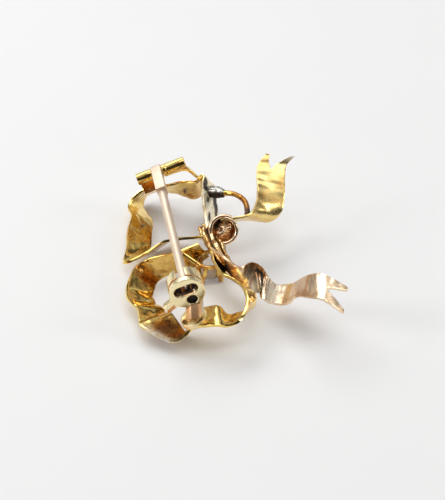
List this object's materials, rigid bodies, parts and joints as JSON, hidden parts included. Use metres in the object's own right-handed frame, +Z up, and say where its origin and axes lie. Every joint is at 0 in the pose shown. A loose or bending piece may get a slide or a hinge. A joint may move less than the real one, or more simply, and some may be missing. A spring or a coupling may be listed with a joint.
{
  "type": "bow brooch",
  "caption": "Gold ribbon bow brooch lying face down, with a hinged pin, a turning safety catch, a claw-set stone and a wire bail.",
  "frame": {"origin": "centre of the brooch's footprint on the table that it lies on, face down", "axes": "+Z up from the table, +Y from the catch to the hinge (turned 10 degrees from the pin), +X from the loops to the tails"},
  "size_m": [0.0211, 0.0242, 0.0078],
  "materials": {
    "bow_gold": "polished yellow gold, hammered and worn",
    "pin_gold": "satin pale gold",
    "catch_gold": "polished champagne gold",
    "stone": "clear, faceted"
  },
  "bodies": {
    "bow_body": {"bow": "bow_gold", "stone": "stone", "hinge_rivet": "bow_gold"},
    "pin": {"pin_stem": "pin_gold"},
    "catch": {"catch_rotor": "catch_gold"}
  },
  "joints": [
    {"name": "pin_hinge", "type": "hinge", "parent": "bow_body", "child": "pin", "pos_m": [-0.00736, 0.00949, 0.00555], "axis": [-0.9366, -0.1651, -0.309], "range_deg": [0, 100]},
    {"name": "catch_turn", "type": "hinge", "parent": "bow_body", "child": "catch", "pos_m": [-0.00409, -0.00902, 0.00555], "axis": [-0.1736, 0.9848, 0], "range_deg": [0, 110]}
  ]
}
